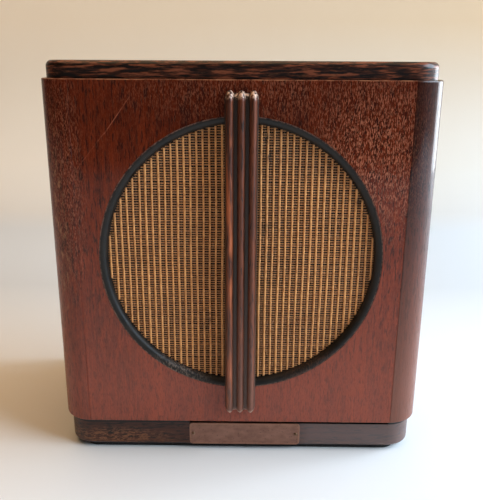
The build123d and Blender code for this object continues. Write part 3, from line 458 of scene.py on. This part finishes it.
def bronze():
    """A blank, worn bronze plate, its raised border rubbed brighter than the field."""
    look = Look("bronze_plate", Metallic=0.4, Roughness=0.42)
    mottle = look.noise((0.12, 0.12, 0.2), 4, 0.65)
    colour = look.mix(look.span(mottle, 0.35, 0.65), paint(122, 82, 66), paint(146, 103, 85))
    from_side = look.maths("ABSOLUTE", look.reach((1, 0, 0), (PLATE_X, 0, 0)))
    from_middle = look.maths("ABSOLUTE", look.reach((0, 0, 1), (0, 0, PLATE_Z)))
    border = look.either(
        look.span(from_side, PLATE_HALF_W - 2.0, PLATE_HALF_W - 1.2),
        look.span(from_middle, PLATE_HALF_H - 2.0, PLATE_HALF_H - 1.2),
    )
    colour = look.mix(look.both(border, 0.30), colour, paint(172, 122, 94))
    spots = look.span(look.cells((0.35, 0.35, 0.35)), 0.22, 0.10)
    colour = look.mix(look.both(spots, 0.5), colour, paint(58, 42, 36))
    return look.finish(colour, look.span(mottle, 0.3, 0.7, 0.36, 0.58), [(mottle, 0.06), (spots, 0.03)])


def metal(name, dark, light, roughness):
    """A plain metal with fine lines and a little tarnish."""
    look = Look(name, Metallic=1.0, Roughness=roughness)
    tarnish = look.noise((0.18, 0.18, 0.18), 4, 0.65)
    lines = look.noise((0.5, 6.0, 0.5), 2, 0.6, shift=3.0)
    colour = look.mix(look.span(tarnish, 0.36, 0.66), dark, light)
    wear = look.span(tarnish, 0.3, 0.7, roughness + 0.12, roughness - 0.06)
    return look.finish(colour, wear, [(lines, 0.006)])


def coated(name, dark, light, roughness, pit_depth=0.02, coat=0.0):
    """Paint, enamel or moulded plastic: slight mottling, an uneven gloss and a faint orange peel."""
    look = Look(name, Roughness=roughness, Coat_Weight=coat, Coat_Roughness=0.15)
    mottle = look.noise((0.1, 0.1, 0.1), 4, 0.6)
    peel = look.noise((1.4, 1.4, 1.4), 2, 0.5, shift=6.0)
    dust = look.span(look.noise((0.5, 0.5, 0.5), 5, 0.7, shift=11.0), 0.58, 0.72, 0.0, 0.35)
    colour = look.mix(look.span(mottle, 0.35, 0.65), dark, light)
    colour = look.mix(dust, colour, paint(120, 108, 92))
    gloss = look.span(mottle, 0.3, 0.7, roughness - 0.08, roughness + 0.12)
    return look.finish(colour, gloss, [(peel, pit_depth)])


def card(name, dark, light, fibre=1.2, depth=0.05):
    """Pressed card, paper or fibreboard: a felted mass of short fibres."""
    look = Look(name, Roughness=0.88)
    clouds = look.noise((0.05, 0.05, 0.05), 3, 0.6)
    fibres = look.noise((fibre, fibre, fibre * 0.25), 3, 0.65, warp=1.2, shift=4.0)
    specks = look.span(look.noise((fibre * 1.5,) * 3, 1, 0.5, shift=15.0), 0.66, 0.74)
    colour = look.mix(look.span(clouds, 0.35, 0.65), dark, light)
    colour = look.mix(look.span(fibres, 0.35, 0.7, 0.0, 0.5), colour, light)
    colour = look.mix(look.both(specks, 0.6), colour, paint(48, 34, 24))
    return look.finish(colour, look.span(fibres, 0.3, 0.7, 0.80, 0.95), [(fibres, depth)])


def bare_wood(name, dark, light, axis):
    """Unfinished softwood with its grain along one axis."""
    look = Look(name, Roughness=0.8)
    colour, pores, fine = wood(look, axis, dark, light, paint(96, 66, 40))
    return look.finish(colour, None, [(look.maths("SUBTRACT", 1.0, pores), 0.06), (fine, 0.06)])


def plywood():
    """Birch ply: the face veneer's figure, and its plies in the thickness along Y."""
    look = Look("plywood", Roughness=0.78)
    colour, pores, fine = wood(look, Z_GRAIN, paint(150, 116, 78), paint(188, 152, 108), paint(108, 78, 48))
    plies = look.bands((0, 0.25, 0), 0.2)
    colour = look.mix(look.span(plies, 0.4, 0.6, 0.0, 0.35), colour, paint(122, 86, 54))
    return look.finish(colour, None, [(fine, 0.05)])


def laminations(name):
    """The edges of thin iron sheets, stacked along Y."""
    look = Look(name, Metallic=0.6, Roughness=0.5)
    sheets = look.bands((0, 2.0, 0), 0.3)
    rust = look.noise((0.25, 0.25, 0.25), 4, 0.7)
    colour = look.mix(sheets, paint(46, 45, 46), paint(104, 102, 100))
    colour = look.mix(look.span(rust, 0.52, 0.66, 0.0, 0.6), colour, paint(104, 62, 38))
    return look.finish(colour, look.span(rust, 0.4, 0.6, 0.42, 0.7), [(sheets, 0.06)])


def braid(name, dark, light, per_mm, metallic=0.0, roughness=0.8):
    """Crossed strands, drawn by two sets of diagonal stripes."""
    look = Look(name, Metallic=metallic, Roughness=roughness)
    one = look.bands((per_mm, per_mm, per_mm))
    other = look.bands((-per_mm, per_mm, per_mm), shift=0.7)
    strands = look.either(one, other)
    colour = look.mix(strands, dark, light)
    fuzz = look.noise((2.5, 2.5, 2.5), 3, 0.6)
    colour = look.mix(look.span(fuzz, 0.4, 0.7, 0.0, 0.4), colour, dark)
    return look.finish(colour, None, [(strands, 0.10), (fuzz, 0.04)])


def cloth_disc(name, dark, light):
    """A disc of varnished or felted cloth: a plain weave along X and Z."""
    look = Look(name, Roughness=0.75)
    weave = look.both(look.bands((1.2, 0, 0), 0.4), look.bands((0, 0, 1.2), 0.4))
    stain = look.noise((0.06, 0.06, 0.06), 4, 0.6)
    colour = look.mix(look.span(stain, 0.35, 0.65), dark, light)
    colour = look.mix(look.both(weave, 0.5), colour, light)
    return look.finish(colour, look.span(stain, 0.3, 0.7, 0.62, 0.9), [(weave, 0.08)])


def copper_turns():
    """Enamelled wire, wound close in turns that follow each other along Y."""
    look = Look("copper_turns", Metallic=0.85, Roughness=0.3)
    turns = look.bands((0, 4.0, 0))
    colour = look.mix(turns, paint(96, 40, 22), paint(196, 98, 58))
    return look.finish(colour, None, [(turns, 0.06)])


def winding_tape():
    """Waxed cotton tape wound round a coil, its edges crossing it in level lines."""
    look = Look("winding_tape", Roughness=0.6, Sheen_Weight=0.2)
    edges = look.span(look.bands((0.01, 0.01, 0.16), 0.6), 0.86, 0.98)
    weave = look.both(look.bands((1.5, 1.5, 0)), look.bands((0, 0, 1.5)))
    stain = look.noise((0.12, 0.12, 0.12), 4, 0.6)
    colour = look.mix(look.span(stain, 0.35, 0.65), paint(138, 112, 62), paint(186, 158, 98))
    colour = look.mix(look.both(edges, 0.7), colour, paint(82, 62, 34))
    return look.finish(colour, None, [(weave, 0.05), (edges, 0.15)])


# Stains and torn places in the grille cloth, as (x, z, half width, half height, strength)
CLOTH_MARKS = (
    (18.8, 268.0, 2.4, 6.0, 0.92),
    (21.5, 255.0, 2.2, 5.0, 0.95),
    (91.0, 220.0, 3.5, 5.0, 0.60),
    (19.0, 199.0, 4.5, 6.0, 0.55),
    (22.0, 175.0, 3.5, 5.0, 0.50),
    (-29.0, 114.0, 5.0, 5.0, 0.45),
    (-25.0, 122.0, 3.0, 7.0, 0.50),
)


def thread(name, dark, light, twist):
    """Spun thread: light and dark lengths, a diagonal twist, and the cloth's dirt and stains."""
    look = Look(name, Roughness=0.72, Sheen_Weight=0.25, Sheen_Roughness=0.5)
    slubs = look.noise((0.35, 0.35, 0.35), 3, 0.6)
    plies = look.bands(twist, 0.4)
    colour = look.mix(look.span(slubs, 0.30, 0.62), dark, light)
    colour = look.mix(look.both(look.maths("SUBTRACT", 1.0, plies), 0.35), colour, dark)
    dirt = look.span(look.noise((0.025, 0.025, 0.025), 3, 0.6, shift=40.0), 0.45, 0.72, 0.0, 0.30)
    colour = look.mix(dirt, colour, paint(104, 66, 40))
    ragged = look.span(look.noise((0.5, 0.5, 0.5), 2, 0.5, shift=33.0), 0.34, 0.56)
    for x, z, half_w, half_h, strength in CLOTH_MARKS:
        spot = look.spot((x, PANEL_BACK, z), (half_w, 30, half_h), 0.4)
        colour = look.mix(look.both(spot, ragged, strength), colour, paint(20, 13, 9))
    return look.finish(colour, None, [(plies, 0.08), (slubs, 0.04)])


def gap_shade_look():
    """Painted shade: a dark sheet behind the threads, with a faint plain weave, standing for the dark seen
    through the gaps of the weave.
    """
    look = Look("grille_gap_shade_paint", Roughness=0.95)
    weave = look.both(look.bands((1.4, 0, 0)), look.bands((0, 0, 1.4)))
    dust = look.noise((0.1, 0.1, 0.1), 3)
    colour = look.mix(look.span(dust, 0.3, 0.7), paint(9, 6, 4), paint(18, 12, 8))
    colour = look.mix(look.both(weave, 0.4), colour, paint(24, 16, 11))
    return look.finish(colour, None, [(weave, 0.1)])


def stage_look():
    """A pale table, greyer at its far end, and a warm wall behind it, each a little darker to the right: the
    greying and the darkening are painted shade.
    """
    look = Look("pale_stage", Roughness=0.7)
    clouds = look.noise((0.002, 0.002, 0.002), 2)
    grain_of_paper = look.noise((0.3, 0.3, 0.3), 2, shift=3.0)
    # Painted shade: the table greys with depth, the wall darkens upwards, and both darken to the right
    side = look.reach((1, 0, 0))
    near_side = look.span(side, -350, 350)
    far_side = look.span(side, -600, 600)
    near = look.mix(near_side, paint(243, 239, 233), paint(213, 218, 222))
    near = look.mix(look.both(clouds, 0.3), near, paint(233, 231, 226))
    far = look.mix(near_side, paint(201, 200, 197), paint(186, 193, 199))
    low_wall = look.mix(far_side, paint(229, 216, 198), paint(186, 182, 174))
    high_wall = look.mix(far_side, paint(230, 207, 178), paint(176, 150, 119))
    wall = look.mix(look.span(look.reach((0, 0, 1)), 60, 420), low_wall, high_wall)
    back = look.reach((0, 1, 0))
    colour = look.mix(look.span(back, 60, 330), near, far)
    colour = look.mix(look.span(back, 650, 1000), colour, wall)
    return look.finish(colour, None, [(grain_of_paper, 0.05)])


# ---- meshes --------------------------------------------------------------------------------


def add_mesh(name, vertices, faces, material):
    """A smooth mesh object from vertices in millimetres."""
    mesh = bpy.data.meshes.new(name)
    mesh.from_pydata((np.asarray(vertices) * MM).tolist(), [], faces)
    mesh.validate()
    mesh.polygons.foreach_set("use_smooth", [True] * len(mesh.polygons))
    mesh.materials.append(material)
    piece = bpy.data.objects.new(name, mesh)
    bpy.context.scene.collection.objects.link(piece)
    return piece


class Strands:
    """Many thin tubes in one mesh, each a ring of points carried along a line."""

    def __init__(self):
        self.vertices = []
        self.faces = []

    def add(self, line, across, deep, half_w, half_d, sides, capped=False):
        turns = 2 * math.pi * np.arange(sides) / sides
        ring = np.outer(np.cos(turns) * half_w, across) + np.outer(np.sin(turns) * half_d, deep)
        first = len(self.vertices)
        for point in line:
            self.vertices.extend(point + ring)
        for step in range(len(line) - 1):
            low = first + step * sides
            high = low + sides
            for n in range(sides):
                after = (n + 1) % sides
                self.faces.append((low + n, low + after, high + after, high + n))
        if capped:
            last = first + (len(line) - 1) * sides
            self.faces.append(tuple(range(first + sides - 1, first - 1, -1)))
            self.faces.append(tuple(range(last, last + sides)))

    def piece(self, name, material):
        return add_mesh(name, self.vertices, self.faces, material)


def lathe(name, outline, material, sides=120):
    """A ring turned about the driver's axis from a closed outline of (radius, depth) points."""
    vertices, faces = [], []
    count = len(outline)
    for turn in range(sides):
        angle = 2 * math.pi * turn / sides
        for radius, depth in outline:
            vertices.append((radius * math.cos(angle), DRIVER_Y + depth, GRILLE_Z + radius * math.sin(angle)))
    for turn in range(sides):
        here, there = turn * count, (turn + 1) % sides * count
        for n in range(count):
            after = (n + 1) % count
            faces.append((here + n, there + n, there + after, here + after))
    return add_mesh(name, vertices, faces, material)


def corrugated(start, end, waves, swing, thickness, steps=8):
    """A closed outline of a thin ring with circular waves between two (radius, depth) points."""
    count = waves * steps
    front = []
    for n in range(count + 1):
        share = n / count
        fade = min(1.0, 4 * share, 4 * (1 - share))
        wave = swing * fade * math.sin(2 * math.pi * waves * share)
        radius = start[0] + share * (end[0] - start[0])
        front.append((radius, start[1] + share * (end[1] - start[1]) + wave))
    back = [(radius, depth + thickness) for radius, depth in reversed(front)]
    return front, back


# ---- the grille cloth ----------------------------------------------------------------------


def half_chord(offset):
    """Half the length of a thread that crosses the grille at a distance from its centre."""
    return math.sqrt(max(WEAVE_R**2 - offset**2, 0.0))


def thread_places(pitch):
    count = int(WEAVE_R // pitch)
    return [n * pitch for n in range(-count, count + 1)]


def cord_x(nominal, z, sway):
    """Where a cord runs: its even place plus the slow sway of the cloth there."""
    lean = 0.30 * math.sin(z / 47.0 + sway) + 0.16 * math.sin(z / 17.0 + 2.3 * sway)
    return nominal + lean


def upright(strands, nominal, sway, y, half_w, half_d, sides, step):
    """Adds one upright thread to the strands, with a point about every step millimetres."""
    reach = half_chord(abs(nominal) + THREAD_MARGIN)
    if reach > SHORTEST_UPRIGHT:
        heights = np.linspace(-reach, reach, max(int(reach / step), 4))
        line = [(cord_x(nominal, z, sway), y, GRILLE_Z + z) for z in heights]
        strands.add(line, SIDEWAYS, BACKWARD, half_w, half_d, sides)


def weft_line(row, phase, reach):
    """One weft: in front between the cords, behind at each cord, with a slow sway up and down."""
    middle_y = (WEFT_BACK_Y + WEFT_FRONT_Y) / 2
    swing_y = (WEFT_BACK_Y - WEFT_FRONT_Y) / 2
    line = []
    for x in np.linspace(-reach, reach, int(2 * reach / CORD_PITCH * WEFT_POINTS_PER_CORD)):
        cell = math.cos(2 * math.pi * (x - 0.2) / CORD_PITCH)
        z = row + 0.10 * math.sin(x / 13.0 + phase) - 0.10 * cell
        line.append((x, middle_y + cell * swing_y, GRILLE_Z + z))
    return line


def weave_grille():
    """Thick cords in front, thin warps between them, and a weft that passes behind the cords."""
    rng = np.random.default_rng(11)
    columns = thread_places(CORD_PITCH)
    sways = rng.uniform(-0.5, 0.5, len(columns)) + np.array(columns) / 60.0
    widths = rng.uniform(0.90, 1.12, len(columns))

    cords, warps, wefts = Strands(), Strands(), Strands()
    for x, sway, width in zip(columns, sways, widths):
        upright(cords, x, sway, CORD_Y, CORD_HALF_W * width, CORD_HALF_D, 8, 2)
        upright(warps, x + CORD_PITCH / 2, sway, WARP_Y, WARP_HALF_W * width, WARP_HALF_D, 5, 3)

    for row in thread_places(WEFT_PITCH):
        row += rng.normal(0, 0.06)
        reach = half_chord(abs(row))
        if reach < SHORTEST_WEFT:
            continue
        phase = rng.uniform(0, 6.28)
        thick = rng.uniform(0.88, 1.12)
        line = weft_line(row, phase, reach)
        wefts.add(line, UPWARD, BACKWARD, WEFT_HALF_W * thick, WEFT_HALF_D, 4)

    cord_look = thread("cord_thread", paint(200, 127, 66), paint(240, 171, 102), (0.5, 0, 0.9))
    warp_look = thread("warp_thread", paint(22, 14, 9), paint(58, 40, 26), (0.6, 0, 1.2))
    weft_look = thread("weft_thread", paint(160, 101, 53), paint(214, 149, 87), (1.1, 0, 0.7))
    return (
        cords.piece("grille_cords", cord_look),
        warps.piece("grille_warps", warp_look),
        wefts.piece("grille_wefts", weft_look),
    )


def gap_shade_sheet():
    """A flat dark sheet over the baffle, painted shade that shows between the threads."""
    cells = 46
    places = np.linspace(-GROUND_HALF, GROUND_HALF, cells + 1)
    vertices = [(x, GROUND_Y, GRILLE_Z + z) for z in places for x in places]
    row = cells + 1
    corners = [n * row + m for n in range(cells) for m in range(cells)]
    faces = [(corner, corner + 1, corner + row + 1, corner + row) for corner in corners]
    return add_mesh("grille_gap_shade", vertices, faces, gap_shade_look())


# ---- the soft parts of the driver ----------------------------------------------------------


def flexing_surround(material):
    """The cone's surround: two circular waves between the cone's edge and a flat, glued rim."""
    inner, outer = (CONE_EDGE_R, CONE_EDGE_DEPTH), (SURROUND_R, -SURROUND_T)
    front, back = corrugated(inner, outer, 2, 0.5, SURROUND_T)
    outline = front + [(SURROUND_RIM_R, -SURROUND_T), (SURROUND_RIM_R, 0.0)] + back
    return lathe("surround_flex", outline, material)


def flexing_spider(material):
    """The spider: five circular waves between the coil former and a flat, glued rim."""
    rim_front = SPIDER_BACK - SPIDER_T
    front, back = corrugated((SPIDER_IN_R, SPIDER_FRONT), (SPIDER_R, rim_front), 5, 0.8, SPIDER_T)
    outline = front + [(SPIDER_RIM_R, rim_front), (SPIDER_RIM_R, SPIDER_BACK)] + back
    return lathe("spider_flex", outline, material)


def flexing_tails(material):
    """Two braided tails in an easy curve from the cone down to the tag strip."""
    tails = Strands()
    slanting = (BACKWARD + UPWARD) * 0.7071
    for x in (-TAIL_X, TAIL_X):
        corners = np.array([(x * share, DRIVER_Y + depth, GRILLE_Z + z) for depth, z, share in TAIL_STATIONS])
        knots = np.arange(len(corners))
        fine = np.linspace(0, len(corners) - 1, 49)
        line = np.column_stack([np.interp(fine, knots, corners[:, axis]) for axis in range(3)])
        for _ in range(6):
            line[1:-1] = (line[:-2] + 2 * line[1:-1] + line[2:]) / 4
        tails.add(line, SIDEWAYS, slanting, TAIL_R, TAIL_R, 8, capped=True)
    return tails.piece("pigtails_flex", material)


# ---- camera, light and stage ---------------------------------------------------------------


def add_camera():
    camera = bpy.data.cameras.new("camera")
    camera.lens = CAMERA_LENS
    camera.sensor_width = 36.0
    camera.sensor_fit = "AUTO"
    camera.clip_start = 0.01
    heading = Matrix.Rotation(CAMERA_YAW, 4, "Z")
    tilt = Matrix.Rotation(math.pi / 2 - CAMERA_PITCH, 4, "X")
    lean = Matrix.Rotation(CAMERA_ROLL, 4, "Z")
    holder = bpy.data.objects.new("camera", camera)
    holder.matrix_world = Matrix.Translation(CAMERA_PLACE) @ (heading @ tilt @ lean)
    bpy.context.scene.collection.objects.link(holder)
    bpy.context.scene.camera = holder


def add_light(name, place, target, size, power, colour):
    """A soft rectangular light, aimed at a target and not itself in the picture."""
    light = bpy.data.lights.new(name, "AREA")
    light.shape = "RECTANGLE"
    light.size, light.size_y = size
    light.energy = power
    light.color = colour
    holder = bpy.data.objects.new(name, light)
    holder.location = place
    aim = Vector(target) - Vector(place)
    holder.rotation_euler = aim.to_track_quat("-Z", "Y").to_euler()
    holder.visible_camera = False
    bpy.context.scene.collection.objects.link(holder)


def add_stage():
    """One pale sweep: a floor that curves up into a wall behind."""
    floor_front, bend_start, bend_r, wall_top, half_w = -1500.0, 800.0, 300.0, 2300.0, 2800.0
    profile = [(floor_front, 0.0)]
    bend_steps = 16
    for n in range(bend_steps + 1):
        turn = math.pi / 2 * n / bend_steps
        profile.append((bend_start + bend_r * math.sin(turn), bend_r * (1 - math.cos(turn))))
    profile.append((bend_start + bend_r, wall_top))
    vertices = [(x, y, z) for x in (-half_w, half_w) for y, z in profile]
    count = len(profile)
    faces = [(n, n + count, n + count + 1, n + 1) for n in range(count - 1)]
    add_mesh("stage", vertices, faces, stage_look())


def add_world():
    world = bpy.data.worlds.new("room")
    world.use_nodes = True
    background = world.node_tree.nodes["Background"]
    background.inputs["Color"].default_value = ROOM_COLOUR
    background.inputs["Strength"].default_value = ROOM_STRENGTH
    bpy.context.scene.world = world


# ---- the scene -----------------------------------------------------------------------------

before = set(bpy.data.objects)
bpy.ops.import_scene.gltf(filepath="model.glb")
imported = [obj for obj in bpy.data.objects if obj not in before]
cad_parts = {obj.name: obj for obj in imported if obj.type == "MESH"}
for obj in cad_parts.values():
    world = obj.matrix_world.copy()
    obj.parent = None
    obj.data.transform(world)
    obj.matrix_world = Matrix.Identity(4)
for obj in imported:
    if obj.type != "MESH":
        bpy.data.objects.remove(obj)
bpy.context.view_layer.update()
bpy.context.scene.view_settings.view_transform = "Standard"

add_camera()
add_stage()
add_world()
for light in LIGHTS:
    add_light(*light)

steel = metal("screw_steel", paint(108, 102, 92), paint(168, 162, 152), 0.38)
brass = metal("brass", paint(150, 112, 58), paint(214, 174, 104), 0.30)
paper = card("cone_paper", paint(50, 43, 38), paint(86, 76, 68), 0.8, 0.06)
surround_paper = card("surround_paper", paint(44, 38, 34), paint(74, 66, 58), 0.8, 0.06)
spider_cloth = cloth_disc("spider_cloth", paint(130, 88, 44), paint(176, 128, 70))
tinsel = braid("tinsel_braid", paint(104, 62, 38), paint(206, 136, 88), 0.8, 0.8, 0.4)
mahogany = veneer()
stained = dark_boards()
deal = bare_wood("deal", paint(166, 128, 84), paint(206, 170, 120), Z_GRAIN)
cross_deal = bare_wood("cross_deal", paint(166, 128, 84), paint(206, 170, 120), X_GRAIN)
black_moulding = coated("moulded_black", paint(18, 17, 17), paint(34, 31, 30), 0.25, 0.015, 0.3)
laminate = coated("laminate", paint(72, 38, 20), paint(104, 58, 32), 0.34, 0.02)
pole_steel = metal("pole_steel", paint(88, 88, 88), paint(138, 138, 136), 0.42)

FINISHES = {
    mahogany: ["front_panel", "corner_post_left", "corner_post_right", "side_panel_left", "side_panel_right"],
    stained: ["top_board", "base_board"],
    moulding(): ["reeded_bar"],
    ebonised(): ["bezel_ring"],
    coated("black_pad", paint(14, 13, 13), paint(26, 24, 23), 0.7, 0.08): ["base_pad"],
    deal: ["post_blocks", "back_batten_left", "back_batten_right"],
    cross_deal: ["top_cleats", "base_cleats", "back_batten_top", "back_batten_bottom"],
    plywood(): ["sub_baffle"],
    bronze(): ["name_plate"],
    metal("pin_metal", paint(104, 80, 62), paint(170, 138, 112), 0.35): ["plate_pins"],
    card("fibreboard", paint(96, 70, 46), paint(128, 96, 64), 0.9, 0.10): ["back_cover"],
    steel: [
        "back_screws",
        "cleat_screws",
        "baffle_screws",
        "driver_bolts",
        "driver_nuts",
        "transformer_screws",
        "terminal_panel_screws",
    ],
    laminate: ["terminal_panel", "tag_strip"],
    black_moulding: ["terminal_head_right", "terminal_bushes"],
    coated("moulded_red", paint(104, 16, 12), paint(142, 26, 18), 0.25, 0.015, 0.3): ["terminal_head_left"],
    brass: [
        "terminal_stems",
        "terminal_nuts",
        "terminal_collar_left",
        "terminal_collar_right",
        "solder_tags",
    ],
    coated("frame_enamel", paint(52, 56, 60), paint(78, 82, 86), 0.4, 0.04, 0.1): ["driver_frame"],
    card("gasket_card", paint(118, 108, 94), paint(152, 142, 126), 1.0, 0.06): ["driver_gasket"],
    pole_steel: ["front_plate", "magnet_pot", "pole_piece"],
    coated("magnet_alloy", paint(74, 74, 76), paint(104, 103, 102), 0.6, 0.10): ["magnet_slug"],
    paper: ["cone", "coil_former"],
    card("felt", paint(44, 40, 36), paint(70, 64, 58), 2.0, 0.12): ["dust_cap"],
    copper_turns(): ["coil_winding"],
    winding_tape(): ["transformer_winding"],
    laminations("core_laminations"): ["transformer_core"],
    card("bobbin_card", paint(126, 92, 54), paint(160, 122, 78), 1.0, 0.04): ["transformer_bobbin"],
    metal("plated_steel", paint(132, 130, 122), paint(182, 180, 172), 0.34): ["transformer_clamp"],
    braid("lead_braid", paint(82, 64, 30), paint(170, 142, 82), 0.6): ["input_leads", "output_leads"],
}
for material, names in FINISHES.items():
    for name in names:
        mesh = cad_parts[name].data
        mesh.materials.clear()
        mesh.materials.append(material)

# The dark sheet behind the threads is painted shade seen through the weave
shade_sheet = gap_shade_sheet()
threads = weave_grille()
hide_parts("grille_cloth")
for piece in (shade_sheet, *threads):
    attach(piece, "root")

surround = flexing_surround(surround_paper)
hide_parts("surround")
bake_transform(surround)

spider = flexing_spider(spider_cloth)
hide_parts("spider")
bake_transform(spider)

tails = flexing_tails(tinsel)
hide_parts("pigtails")
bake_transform(tails)
